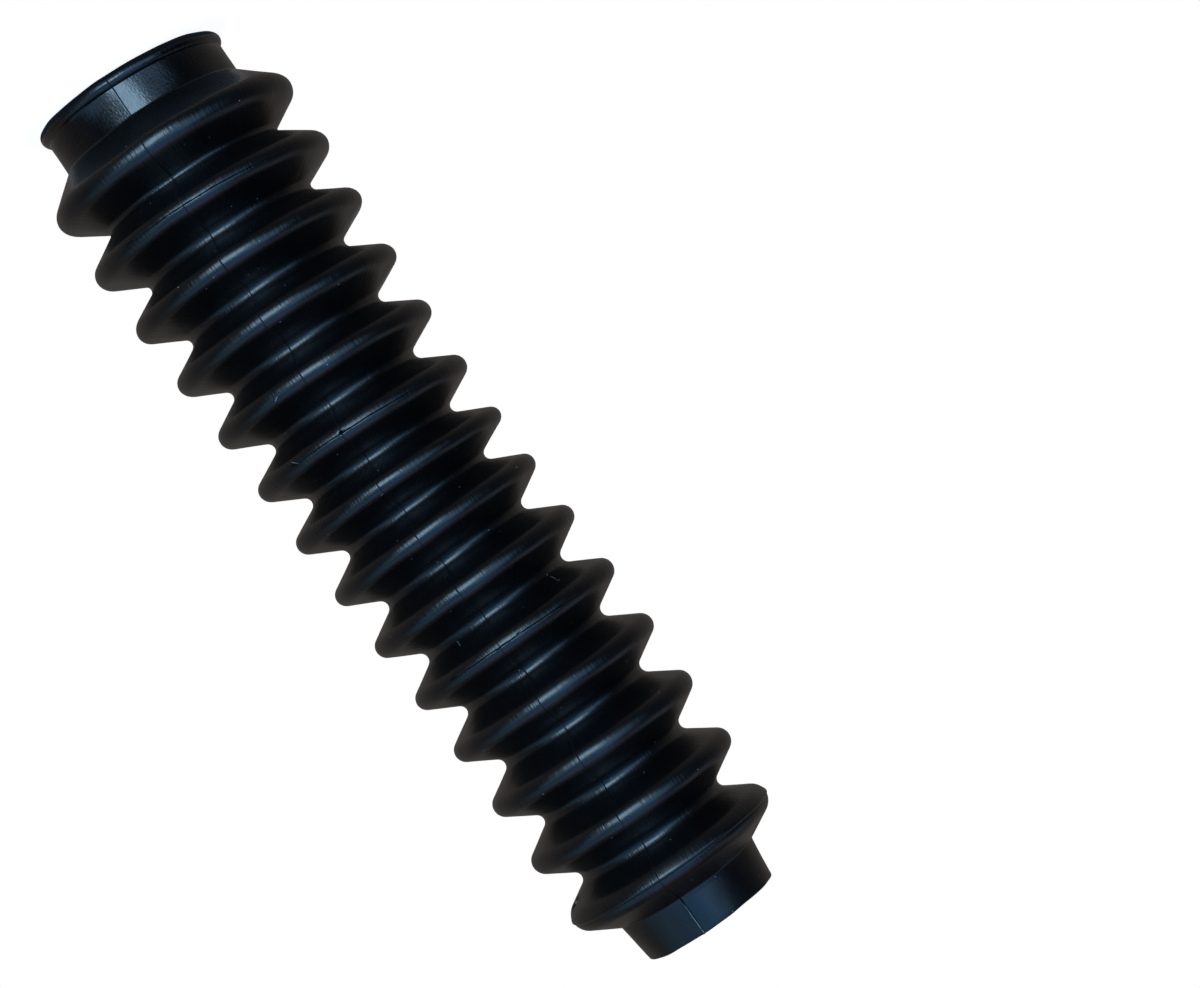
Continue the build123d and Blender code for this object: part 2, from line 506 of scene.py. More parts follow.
@dataclass
class PartingLine:
    """Line that the two mould halves leave up the front and up the back.

    One half of the mould sat a little proud, so the skin dips beside the line on that half. The line itself
    is a torn groove with a thin flash beside it. All in millimetres, but for the angles.

    Attributes:
        azimuth: Where it runs at mid height, in front. The other one lies half a turn further.
        drift: How far it strays, in degrees, at either end of the boot.
        waver: Size of the smaller waves on it, in degrees.
        waver_rates: Rates of those waves, in radians a millimetre.
        reach: Half width, in degrees, of the skin that follows its drift.
        offsets: Columns of vertices each side of it, at the middle radius.
        radius: That middle radius.
        groove_depth: Depth of the groove.
        groove_width: Its half width.
        unevenness: How much its depth varies, as a share.
        uneven_rates: Rates of that variation, in radians a millimetre.
        corner_tear: How much deeper it is torn at the small cuff's corner, as a multiple.
        corner_tear_reach: Distance from that corner at which the tear has fallen to a third.
        tear_spread: How much the tear widens the groove, as a share.
        flash_height: Height of the flash, which stands where the groove is shallow.
        flash_offset: Its distance from the line, on the -X side, and on the other side on the small cuff.
        flash_width: Its half width.
        mouth_flash: How much higher it stands on the small cuff, as a multiple.
        mouth_reach: Length of the stretch on the small cuff, from its mouth.
        crossing: Share of that stretch that still lies past the place where the flash changes sides.
        crease: Slope of the dip beside the line.
        crease_reach: How far from the line the dip is deepest.
        cuff_crease: Slope of the dip on the large cuff.
        cuff_crease_reach: How far from the line that dip is deepest.
        cuff_crease_end: Distance from the line at which that dip has ended.
        cuff_crease_start: Height above which it begins, over the bead.
    """

    azimuth: float = 6.4
    drift: float = 1.6
    waver: float = 0.1
    waver_rates: tuple[float, ...] = (0.83, 1.71, 0.29)
    reach: float = 16.0
    offsets: tuple[float, ...] = (0.1, 0.2, 0.36, 0.7, 1.5)
    radius: float = 30.0
    groove_depth: float = 0.14
    groove_width: float = 0.09
    unevenness: float = 0.4
    uneven_rates: tuple[float, ...] = (0.41, 0.97, 0.17)
    corner_tear: float = 2.2
    corner_tear_reach: float = 5.0
    tear_spread: float = 0.3
    flash_height: float = 0.04
    flash_offset: float = 0.36
    flash_width: float = 0.18
    mouth_flash: float = 3.0
    mouth_reach: float = 12.0
    crossing: float = 0.8
    crease: float = 0.05
    crease_reach: float = 6.0
    cuff_crease: float = 0.17
    cuff_crease_reach: float = 14.0
    cuff_crease_end: float = 30.0
    cuff_crease_start: float = 4.0

    @property
    def azimuths(self) -> tuple[float, float]:
        """Both lines."""
        return self.azimuth, self.azimuth + FULL_TURN / 2

    def columns(self) -> list[float]:
        """Offsets of the vertex columns from the line, in degrees."""
        steps = [math.degrees(offset / self.radius) for offset in self.offsets]
        return [-step for step in reversed(steps)] + [0.0] + steps

    def stray(self, height: np.ndarray, length: float) -> np.ndarray:
        """How far the line has strayed, in degrees, at each height."""
        share = 2.0 * height / length - 1.0
        return self.drift * share**3 + self.waver * ripple(height, *self.waver_rates)

    def torn_edge(self, offset: np.ndarray, height: np.ndarray, length: float) -> np.ndarray:
        """Height of the flash and depth of the groove, in one.

        Args:
            offset: Distance from the line, positive towards larger azimuths.
            height: Height of the place on the boot.
            length: Whole length of the boot.

        Returns:
            The height over the skin at each place, less than 0 in the groove.
        """
        corner = length - self.mouth_reach
        open_share = 1.0 + self.unevenness * ripple(height, *self.uneven_rates)
        tear = self.corner_tear * bump(height - corner, self.corner_tear_reach)
        width = self.groove_width * (1.0 + self.tear_spread * tear)
        groove = self.groove_depth * (open_share + tear) * bump(offset, width)
        crossed = 2.0 * smooth(corner, length - self.crossing * self.mouth_reach, height) - 1.0
        flash = self.flash_height * (2.0 - open_share) * (1.0 + self.mouth_flash * (crossed > 0.0))
        return flash * bump(offset - crossed * self.flash_offset, self.flash_width) - groove

    def relief(self, offset: np.ndarray, height: np.ndarray, section: WallSection) -> np.ndarray:
        """Height of the skin over its true form, in millimetres.

        Args:
            offset: Distance from the line, positive towards larger azimuths.
            height: Height of the place on the boot.
            section: The wall's section.

        Returns:
            The height at each place.
        """
        beside = np.maximum(offset, 0.0)
        on_fold = smooth(section.large_length, 2.0 * section.large_length, height)
        fold_dip = self.crease * np.exp(-beside / self.crease_reach)
        cuff_dip = self.cuff_crease * np.exp(-beside / self.cuff_crease_reach)
        cuff_dip = cuff_dip * (1.0 - smooth(self.cuff_crease_reach, self.cuff_crease_end, beside))
        cuff_dip = cuff_dip * smooth(self.cuff_crease_start, 2.0 * self.cuff_crease_start, height)
        dip = beside * (on_fold * fold_dip + (1.0 - on_fold) * cuff_dip)
        return self.torn_edge(offset, height, section.length) - dip


@dataclass
class SplitLine:
    """Fine line round a crest, where two plates of the mould met a little out of true.

    Attributes:
        crests: Numbers of the crests that have one.
        depth: Its depth, in millimetres.
        width: Its half width.
        stray: How far it strays from the apex along the section, in millimetres.
        waver: Size of the smaller waves on it.
        waver_counts: Counts of those waves round the boot.
        open_range: Values of a slow wave between which the line opens.
        ragged: Size of the smaller waves on that slow one.
        ragged_counts: Counts of those waves round the boot.
        unevenness: How much its depth varies, as a share.
        uneven_counts: Counts of that variation round the boot.
        apex_offsets: Rows of vertices each side of it, in millimetres.
    """

    crests: tuple[int, ...] = (1, 5, 9)
    depth: float = 0.3
    width: float = 0.1
    stray: float = 0.6
    waver: float = 0.07
    waver_counts: tuple[int, ...] = (7, 17, 31)
    open_range: tuple[float, float] = (-0.5, 0.6)
    ragged: float = 0.45
    ragged_counts: tuple[int, ...] = (7, 19, 37)
    unevenness: float = 0.5
    uneven_counts: tuple[int, ...] = (23, 41)
    apex_offsets: tuple[float, ...] = (0.0, 0.1, 0.2, 0.4)

    def wander(self, azimuth: np.ndarray) -> np.ndarray:
        """How far the line lies off the apex, in millimetres, at each azimuth in degrees."""
        turn = np.radians(azimuth)
        return self.waver * ripple(turn, *self.waver_counts) - self.stray * np.sin(2.0 * turn)

    def openness(self, azimuth: np.ndarray) -> np.ndarray:
        """How far the line is open at each azimuth, 1 where the mould halves meet and 0 far from there."""
        turn = np.radians(azimuth)
        return smooth(*self.open_range, np.cos(2.0 * turn) + self.ragged * ripple(turn, *self.ragged_counts))

    def relief(self, offset: np.ndarray, azimuth: np.ndarray) -> np.ndarray:
        """Height of the skin over its true form, in millimetres, at a distance from the line."""
        uneven = 1.0 + self.unevenness * ripple(np.radians(azimuth), *self.uneven_counts)
        return -self.depth * self.openness(azimuth) * uneven * bump(offset, self.width)


@dataclass
class Ridge:
    """Fine ridge round the last crest, gentle towards the large cuff, with a groove at its steep foot.

    Attributes:
        gentle_width: Half width of its gentle side, in millimetres.
        steep_width: Half width of its steep side.
        groove_depth: Depth of the groove.
        groove_width: Its half width.
        groove_offset: Its distance from the crest's apex, towards the small cuff.
        apex_offsets: Rows of vertices each side of the apex, in millimetres.
    """

    gentle_width: float = 1.2
    steep_width: float = 0.45
    groove_depth: float = 0.1
    groove_width: float = 0.2
    groove_offset: float = 0.6
    apex_offsets: tuple[float, ...] = (0.0, 0.2, 0.4, 0.6, 0.8, 1.2)

    def relief(self, apex: np.ndarray, height: float) -> np.ndarray:
        """Height of the skin over the crest's round, in millimetres.

        Args:
            apex: Distance from the crest's apex along the section, in millimetres.
            height: Height of the ridge.

        Returns:
            The height at each place.
        """
        width = np.where(apex < 0.0, self.gentle_width, self.steep_width)
        groove = self.groove_depth * bump(apex - self.groove_offset, self.groove_width)
        return height * bump(apex, width) - groove


@dataclass
class Nick:
    """A small pit torn in a crest beside the parting line, as deep as it needs to be to show black.

    Attributes:
        crest: Number of the crest.
        offset: Distance from the parting line, in millimetres.
        apex: Distance from the crest's apex along the section.
        width: Half its width across the crest.
        length: Half its length along the section.
        depth: Its depth.
    """

    crest: int
    offset: float
    apex: float
    width: float
    length: float
    depth: float


@dataclass
class Waviness:
    """Slow waves that a thick, hot-stripped moulding keeps in its wall.

    Attributes:
        waves: For each wave, its count round the boot, its rate up the boot and its height in millimetres.
    """

    waves: tuple[tuple[int, float, float], ...] = (
        (3, 0.31, 0.05),
        (7, -0.23, 0.05),
        (11, 0.47, 0.035),
        (17, -0.61, 0.02),
    )

    def relief(self, azimuth: np.ndarray, height: np.ndarray) -> np.ndarray:
        """Height of the skin over its true form, in millimetres, at azimuths in degrees."""
        turn = np.radians(azimuth)
        return sum(
            size * np.sin(count * turn + rate * height + count) for count, rate, size in self.waves
        )


@dataclass
class Stretch:
    """A change that comes on smoothly between two heights.

    Attributes:
        start: Height at which it begins, in millimetres.
        end: Height from which it is complete.
        amount: The whole change.
    """

    start: float
    end: float
    amount: float

    def at(self, height: np.ndarray) -> np.ndarray:
        """How much of the change has come on at each height."""
        return self.amount * smooth(self.start, self.end, height)


@dataclass
class Bend:
    """How the soft boot has settled: it leans, bows, and two convolutions sit closer on one side.

    A stretch that is complete at height 0 acts on the whole boot, mouth and all.

    Attributes:
        lean: Angle that the axis leans towards -X, in degrees.
        swell: How much wider it is than when it left the mould.
        bows: Sideways shifts of the axis towards +X, in millimetres.
        tilts: Tilts of the rings that raise their +X side, in degrees.
        squeezes: Shifts of the rings up the axis, in millimetres.
    """

    lean: float = 2.13
    swell: float = 1.008
    bows: list[Stretch] = field(
        default_factory=lambda: [
            Stretch(0, 85, 1.45),
            Stretch(105, 150, 0.35),
            Stretch(135, 215, -1.9),
            Stretch(225, 285, 0.9),
        ]
    )
    tilts: list[Stretch] = field(
        default_factory=lambda: [
            Stretch(-1, 0, -1.0),
            Stretch(2, 24, 1.0),
            Stretch(40, 90, 0.72),
            Stretch(128, 160, 2.45),
            Stretch(180, 250, -2.0),
            Stretch(272, 292, 0.7),
        ]
    )
    squeezes: list[Stretch] = field(
        default_factory=lambda: [
            Stretch(-1, 0, 0.56),
            Stretch(20, 50, 0.45),
            Stretch(122, 162, -2.2),
            Stretch(150, 180, -0.45),
            Stretch(210, 285, 2.2),
        ]
    )

    def apply(self, points: np.ndarray, height: np.ndarray) -> np.ndarray:
        """Bend points of the straight boot.

        Args:
            points: The points, one a row, in millimetres.
            height: Height of each point's ring on the straight boot.

        Returns:
            The bent points.
        """
        bow = sum(stretch.at(height) for stretch in self.bows) - height * math.tan(math.radians(self.lean))
        tilt = np.radians(sum(stretch.at(height) for stretch in self.tilts))
        rise = sum(stretch.at(height) for stretch in self.squeezes)
        across = self.swell * points[:, 0]
        return np.stack(
            [
                across * np.cos(tilt) + bow,
                self.swell * points[:, 1],
                points[:, 2] + rise + across * np.sin(tilt),
            ],
            axis=1,
        )


# ------------------------------------------------------------------------------------------------ the skin


class Mark(Enum):
    """Values that the skin's mesh carries for its material, all in millimetres."""

    WRAP = "wrap_place"
    SEAM = "seam_offset"
    SPLIT = "split_offset"
    HEIGHT = "straight_height"


# The distance from a line that a vertex carries where the line is nowhere near
FAR = 99.0


class SkinGrid:
    """Vertices of the skin: a grid of rows and columns that closes both ways, and the hole's own rings."""

    FIELDS: ClassVar[tuple[str, ...]] = (
        "azimuth",
        "radius",
        "height",
        "ring_height",
        "along",
        "seam",
        "split",
    )

    def __init__(self, rows: int, columns: int) -> None:
        """Start with no vertices.

        Args:
            rows: Number of rows that the grid will have.
            columns: Number of its columns.
        """
        self.rows = rows
        self.columns = columns
        self.values = np.zeros((0, len(self.FIELDS)))

    def add(self, **fields: np.ndarray | float) -> list[int]:
        """Add vertices.

        Args:
            fields: An array or a single value for each field.

        Returns:
            The numbers of the new vertices.
        """
        block = np.broadcast_arrays(*(fields[name] for name in self.FIELDS))
        start = len(self.values)
        self.values = np.concatenate([self.values, np.stack([np.ravel(part) for part in block], axis=1)])
        return list(range(start, len(self.values)))

    def column(self, name: str) -> np.ndarray:
        """One field of every vertex."""
        return self.values[:, self.FIELDS.index(name)]

    def index(self, row: int, column: int) -> int:
        """Number of the vertex at a row and column."""
        return (row % self.rows) * self.columns + column % self.columns

    def cells(self, rows: range, columns: range) -> list[tuple[int, ...]]:
        """List the cells in a window of the grid.

        Args:
            rows: Rows at the cells' low edges.
            columns: Columns at their left edges.

        Returns:
            The cells, each with its corners counter-clockwise from outside.
        """
        return [
            (
                self.index(row, column),
                self.index(row, column + 1),
                self.index(row + 1, column + 1),
                self.index(row + 1, column),
            )
            for row in rows
            for column in columns
        ]

    def edge(self, low: int, high: int, left: int, right: int) -> list[int]:
        """List the vertices round the edge of a window.

        Args:
            low: Row of its low edge.
            high: Row of its high edge, which is the smaller number on the inside of the wall.
            left: Column of its left edge.
            right: Column of its right edge.

        Returns:
            The vertices from the low left corner, first to the right.
        """
        step = 1 if high > low else -1
        edge = [self.index(low, column) for column in range(left, right)]
        edge += [self.index(row, right) for row in range(low, high, step)]
        edge += [self.index(high, column) for column in range(right, left, -1)]
        return edge + [self.index(row, left) for row in range(high, low, -step)]

    def keep(self, faces: list[tuple[int, ...]]) -> list[tuple[int, ...]]:
        """Drop the vertices that no face uses.

        Args:
            faces: The faces.

        Returns:
            The faces with the vertices' new numbers.
        """
        used = np.zeros(len(self.values), dtype=bool)
        used[np.unique(np.array(faces))] = True
        numbers = np.cumsum(used) - 1
        self.values = self.values[used]
        return [tuple(int(numbers[index]) for index in face) for face in faces]

    def points(self) -> np.ndarray:
        """Every vertex of the straight boot, in millimetres."""
        turn, radius = np.radians(self.column("azimuth")), self.column("radius")
        return np.stack([radius * np.sin(turn), -radius * np.cos(turn), self.column("height")], axis=1)

    def write_marks(self, mesh: bpy.types.Mesh, wrap_radius: float) -> None:
        """Give the mesh the values that its material reads.

        Args:
            mesh: The skin's mesh.
            wrap_radius: Radius of the cylinder on which the material's patterns are laid out.
        """
        wrap = wrap_place(self.column("azimuth"), self.column("along"), wrap_radius)
        place = mesh.attributes.new(Mark.WRAP.value, "FLOAT_VECTOR", "POINT")
        place.data.foreach_set("vector", wrap.astype(np.float32).ravel())
        for mark, name in ((Mark.SEAM, "seam"), (Mark.SPLIT, "split"), (Mark.HEIGHT, "ring_height")):
            values = mesh.attributes.new(mark.value, "FLOAT", "POINT")
            values.data.foreach_set("value", self.column(name).astype(np.float32))


def wrap_place(azimuth: np.ndarray, along: np.ndarray, radius: float) -> np.ndarray:
    """Place on the cylinder where the material's patterns are laid out.

    Args:
        azimuth: Azimuth of each place, in degrees.
        along: Distance along the wall's section.
        radius: The cylinder's radius.

    Returns:
        The places, one a row.
    """
    turn = np.radians(azimuth)
    return np.stack([radius * np.sin(turn), -radius * np.cos(turn), along + 0.0 * turn], axis=-1)


@dataclass
class Vent:
    """Breather hole through the flank below the last crest.

    Attributes:
        diameter: Its diameter, in millimetres.
        below_crest: How much smaller the radius is at its middle than at the crest.
        azimuth: Its azimuth.
        edge_round: Bevel at both ends of the hole.
        half_rows: Rows of the grid that it takes each side of its middle.
        half_columns: Columns of the grid that it takes each side of its middle.
        column_step: Angle between those columns, in degrees.
    """

    diameter: float = 3.8
    below_crest: float = 4.2
    azimuth: float = 80.0
    edge_round: float = 0.22
    half_rows: int = 4
    half_columns: int = 4
    column_step: float = 1.22

    def columns(self) -> list[float]:
        """Azimuths of the vertex columns over the hole."""
        half = self.half_columns
        return [self.azimuth + self.column_step * step for step in range(-half, half + 1)]

    def place(self, section: WallSection) -> Row:
        """Find the middle of the hole.

        Args:
            section: The wall's section.

        Returns:
            Its place on the outer flank.
        """
        root, crest = section.root_circle(section.last - 1, 0.0), section.crest_circle(section.last, 0.0)
        slope = tangent(root, crest)
        low = touch(root, slope)
        r = section.crest_r(section.last) - self.below_crest
        return Row(r, low[1] + (r - low[0]) / math.tan(slope), slope)

    def ring(self, grid: SkinGrid, angles: np.ndarray, radius: float, sunk: float, middle: Row) -> list[int]:
        """Add one ring of vertices round the hole.

        Args:
            grid: The skin's vertices, which gain the ring.
            angles: Angle of each vertex round the hole.
            radius: The ring's radius.
            sunk: Its depth below the flank.
            middle: Middle of the hole on the flank.

        Returns:
            The numbers of the new vertices.
        """
        up, across = radius * np.sin(angles), radius * np.cos(angles)
        ring_r = middle.r + up * math.sin(middle.slope) - sunk * math.cos(middle.slope)
        ring_z = middle.z + up * math.cos(middle.slope) + sunk * math.sin(middle.slope)
        # Sunk rings count as torn line, so the material paints the hole's lining with the grooves' painted
        # shade
        return grid.add(
            azimuth=self.azimuth + np.degrees(across / ring_r),
            radius=ring_r,
            height=ring_z,
            ring_height=ring_z,
            along=ring_z,
            seam=0.0 if sunk else FAR,
            split=FAR,
        )

    def cut(
        self,
        grid: SkinGrid,
        faces: list[tuple[int, ...]],
        outer: list[Row],
        inner: list[Row],
        columns: np.ndarray,
        section: WallSection,
    ) -> list[tuple[int, ...]]:
        """Open the hole through both sides of the wall and line it.

        Args:
            grid: The skin's vertices, which gain the hole's rings.
            faces: The skin's faces.
            outer: Rows of the wall's outside.
            inner: Rows of its inside.
            columns: Azimuths of the columns.
            section: The wall's section.

        Returns:
            The faces, less those over the hole, with its lining.
        """
        middle = self.place(section)
        sunk_r = middle.r - section.wall * math.cos(middle.slope)
        sunk_z = middle.z + section.wall * math.sin(middle.slope)
        column = int(np.argmin(np.abs(columns - self.azimuth)))
        left, right = column - self.half_columns, column + self.half_columns
        outside_row = nearest(outer, middle.r, middle.z)
        inside_row = len(outer) + nearest(inner, sunk_r, sunk_z)
        low, high = outside_row - self.half_rows, outside_row + self.half_rows
        inside_low, inside_high = inside_row + self.half_rows, inside_row - self.half_rows
        gone = set(grid.cells(range(low, high), range(left, right)))
        gone |= set(grid.cells(range(inside_high, inside_low), range(left, right)))
        outside = grid.edge(low, high, left, right)

        across = np.radians(grid.column("azimuth")[outside] - self.azimuth) * grid.column("radius")[outside]
        up = (grid.column("radius")[outside] - middle.r) * math.sin(middle.slope)
        up += (grid.column("height")[outside] - middle.z) * math.cos(middle.slope)
        angles = np.arctan2(up, across)
        rim, round_ = self.diameter / 2, self.edge_round
        wall = section.wall
        steps = [(rim + round_, 0.0), (rim, round_), (rim, wall - round_), (rim + round_, wall)]
        loops = [outside]
        loops += [self.ring(grid, angles, radius, sunk, middle) for radius, sunk in steps]
        loops.append(grid.edge(inside_low, inside_high, left, right))
        kept = [face for face in faces if face not in gone]
        for first, second in zip(loops, loops[1:]):
            for this, after in zip(range(len(first)), [*range(1, len(first)), 0]):
                kept.append((first[this], first[after], second[after], second[this]))
        return kept


def nearest(rows: list[Row], r: float, z: float) -> int:
    """Index of the row nearest to a place in section."""
    return min(range(len(rows)), key=lambda index: math.hypot(rows[index].r - r, rows[index].z - z))


def upright(rows: list[Row], *names: str) -> list[np.ndarray]:
    """Fields of rows, each as an array of one column."""
    return [np.array([[getattr(row, name)] for row in rows]) for name in names]


@dataclass
class BootSkin:
    """The whole moulded boot as one closed mesh.

    Attributes:
        section: The wall's section.
        seam: The mould's parting line.
        split: The split lines round some crests.
        ridge: The ridge round the last crest.
        waviness: Slow waves in the wall.
        bend: How the boot has settled.
        vent: The breather hole.
        nicks: Pits torn in the crests.
        bead_steps: Steps round the bead.
        column_step: Widest angle between two columns of vertices, in degrees.
        wrap_radius: Radius of the cylinder on which the material's patterns are laid out.
        sharp_angle: Angle between two faces from which their edge shows as sharp, in degrees.
        follow_slopes: Slopes of a crest's round, in radians, between which its rows stop to follow the line.
    """

    section: WallSection
    seam: PartingLine = field(default_factory=PartingLine)
    split: SplitLine = field(default_factory=SplitLine)
    ridge: Ridge = field(default_factory=Ridge)
    waviness: Waviness = field(default_factory=Waviness)
    bend: Bend = field(default_factory=Bend)
    vent: Vent = field(default_factory=Vent)
    nicks: list[Nick] = field(
        default_factory=lambda: [Nick(crest=5, offset=-0.1, apex=-0.2, width=0.65, length=0.5, depth=1.5)]
    )
    bead_steps: int = 14
    column_step: float = 2.4
    wrap_radius: float = 30.0
    sharp_angle: float = 50.0
    follow_slopes: tuple[float, float] = (0.5, 1.0)

    def outer_rows(self) -> list[Row]:
        """Cut the wall's outside into rows.

        Returns:
            The rows, from the foot of the bead to the rim of the small cuff.
        """
        section = self.section
        fine = {crest: self.split.apex_offsets for crest in self.split.crests}
        fine[section.last] = self.ridge.apex_offsets
        plan = RowPlan(
            crest_steps=10,
            root_steps=6,
            flank_shares=(0.1, 0.37, 0.63, 0.9),
            vent_crest=section.last,
            apex_rows=fine,
        )
        bead = Round(section.bead_r, section.bead_round, section.bead_round, Side.OVER)
        bead_end = -math.acos((section.large_r - section.bead_r) / section.bead_round)
        slopes = np.linspace(math.pi / 2, bead_end, self.bead_steps + 1)[:-1]
        return [Row(*touch(bead, slope), slope) for slope in slopes] + plan.rows(section.outer_circles())

    def inner_rows(self) -> list[Row]:
        """Rows of the wall's inside, which is plain, from the small cuff's mouth down to the large one's."""
        plan = RowPlan(crest_steps=3, root_steps=3, flank_shares=(), vent_crest=self.section.last)
        return list(reversed(plan.rows(self.section.inner_circles())))

    def columns(self) -> np.ndarray:
        """Place the columns: close at the parting lines and the breather hole, even elsewhere.

        Returns:
            Their azimuths.
        """
        steps = self.seam.columns()
        clusters = [[line + step for step in steps] for line in self.seam.azimuths] + [self.vent.columns()]
        clusters.sort(key=lambda cluster: cluster[0])
        azimuths: list[float] = []
        for cluster, following in zip(clusters, clusters[1:] + [[clusters[0][0] + FULL_TURN]]):
            gap = following[0] - cluster[-1]
            count = math.ceil(gap / self.column_step)
            azimuths += cluster + [cluster[-1] + gap * step / count for step in range(1, count)]
        return np.array(azimuths)

    def seam_angle(self, azimuths: np.ndarray) -> np.ndarray:
        """Angle from the nearer parting line, in degrees, before the line strays."""
        half_turn = FULL_TURN / 2
        return (azimuths - self.seam.azimuth + half_turn / 2) % half_turn - half_turn / 2

    def relief(self, rows: list[Row], columns: np.ndarray, azimuth: np.ndarray) -> dict[str, np.ndarray]:
        """Work out how the outside differs from its true form.

        Args:
            rows: Rows of the outside.
            columns: Azimuths of the columns before the parting line strays.
            azimuth: Azimuth of each vertex, as rows by columns.

        Returns:
            The height over the true form, and the distances from the seam and from the split line.
        """
        r, z, apex, crest = upright(rows, "r", "z", "apex", "crest")
        near = np.broadcast_to(np.where(np.isfinite(apex), apex, FAR), azimuth.shape)
        seam = np.radians(self.seam_angle(columns)) * r
        split = np.where(np.isin(crest, self.split.crests), near, FAR)
        ridge = np.where(crest == self.section.last, near, FAR)
        height = self.seam.relief(seam, z, self.section) + self.waviness.relief(azimuth, z)
        height += self.split.relief(split, azimuth) + self.ridge.relief(ridge, self.section.ridge_height)
        for nick in self.nicks:
            across = (seam - nick.offset) / nick.width
            along = (np.where(crest == nick.crest, near, FAR) - nick.apex) / nick.length
            front = np.abs(azimuth) < FULL_TURN / 4
            height = height - nick.depth * np.clip(1.0 - np.hypot(across, along), 0.0, 1.0) * front
        closed = 1.0 - self.split.openness(azimuth)
        line = np.minimum(np.abs(split), np.abs(ridge - self.ridge.groove_offset)) + closed
        return {"relief": height, "seam": seam, "split": line}

    def follow_split(
        self, rows: list[Row], azimuth: np.ndarray, r: np.ndarray, z: np.ndarray, slope: np.ndarray
    ) -> None:
        """Slide the rows of the split crests along their rounds, so that each keeps its place by the line.

        Args:
            rows: Rows of the outside.
            azimuth: Azimuth of each vertex.
            r: Radius of each vertex, which is changed.
            z: Height of each vertex, which is changed.
            slope: Slope of the section at each vertex, which is changed.
        """
        for index, row in enumerate(rows):
            if row.crest in self.split.crests:
                circle = self.section.crest_circle(row.crest, 0.0)
                share = 1.0 - smooth(*self.follow_slopes, np.array(abs(row.slope)))
                slope[index] -= share * self.split.wander(azimuth[index]) / circle.radius
                r[index] = circle.r + circle.radius * np.cos(slope[index])
                z[index] = circle.z - circle.radius * np.sin(slope[index])

    def build(self) -> bpy.types.Object:
        """Build the mesh and its marks.

        Returns:
            The boot, in place.
        """
        outer, inner = self.outer_rows(), self.inner_rows()
        rows, columns = outer + inner, self.columns()
        r, z, slope = upright(rows, "r", "z", "slope")
        outside = np.arange(len(rows))[:, None] < len(outer)
        follow = 1.0 - smooth(self.seam.reach / 3, self.seam.reach, np.abs(self.seam_angle(columns)))
        azimuth = columns + np.where(outside, self.seam.stray(z, self.section.length) * follow, 0.0)
        r, z, slope = (np.repeat(values, len(columns), axis=1) for values in (r, z, slope))
        self.follow_split(outer, azimuth, r, z, slope)
        detail = self.relief(outer, columns, azimuth[:len(outer)])
        plain, far = np.zeros((len(inner), len(columns))), np.full((len(inner), len(columns)), FAR)
        relief = np.concatenate([detail["relief"], plain])
        grid = SkinGrid(len(rows), len(columns))
        steps = np.hypot(np.diff(r, axis=0), np.diff(z, axis=0))
        grid.add(
            azimuth=azimuth,
            radius=r + relief * np.cos(slope),
            height=z - relief * np.sin(slope),
            ring_height=z,
            along=np.concatenate([plain[:1], np.cumsum(steps, axis=0)]),
            seam=np.concatenate([detail["seam"], far]),
            split=np.concatenate([detail["split"], far]),
        )
        faces = grid.cells(range(len(rows)), range(len(columns)))
        faces = grid.keep(self.vent.cut(grid, faces, outer, inner, columns, self.section))
        mesh = bpy.data.meshes.new("bellows_boot_skin")
        points = self.bend.apply(grid.points(), grid.column("ring_height"))
        mesh.from_pydata((points * MM).tolist(), [], faces)
        grid.write_marks(mesh, self.wrap_radius)
        mesh.shade_smooth()
        mesh.set_sharp_from_angle(angle=math.radians(self.sharp_angle))
        boot = bpy.data.objects.new(mesh.name, mesh)
        bpy.context.scene.collection.objects.link(boot)
        return boot

    def dress(self, boot: bpy.types.Object, rubber: "MouldedRubber") -> None:
        """Give the boot its rubber."""
        boot.data.materials.append(rubber.make(self))

    def wrap_point(self, crest: int, apex: float, azimuth: float) -> tuple[float, float, float]:
        """Place of a point of a crest in the material's patterns.

        Args:
            crest: Number of the crest.
            apex: Distance of the point from the crest's apex along the section, in millimetres.
            azimuth: Azimuth of the point.

        Returns:
            The place.
        """
        rows = self.outer_rows()
        steps = [math.hypot(b.r - a.r, b.z - a.z) for a, b in zip(rows, rows[1:])]
        top = min((row for row in rows if row.crest == crest), key=lambda row: abs(row.apex))
        along = sum(steps[: rows.index(top)]) - top.apex + apex
        return tuple(float(value) for value in wrap_place(azimuth, along, self.wrap_radius))


# ---------------------------------------------------------------------------------------------- materials


@dataclass(frozen=True)
class SurfaceMark:
    """Something small that lies on a crest or is torn into it.

    Attributes:
        crest: Number of the crest.
        apex: Distance of its middle from the crest's apex along the section, in millimetres.
        azimuth: Azimuth of its middle.
        half_size: Half its size round the boot and half its size along the section.
        turn: Angle by which its first side points up along the section, in degrees.
        pale: Whether it is pale, like lint, or dark, like a tear, whose darker colour is painted shade in
            its pit.
    """

    crest: int
    apex: float
    azimuth: float
    half_size: tuple[float, float]
    turn: float = 0.0
    pale: bool = True

    @property
    def fade(self) -> tuple[float, float]:
        """Shares of its half size between which it fades. A pale one fades late, a dark one all along."""
        return (0.6 if self.pale else 0.0), 1.1


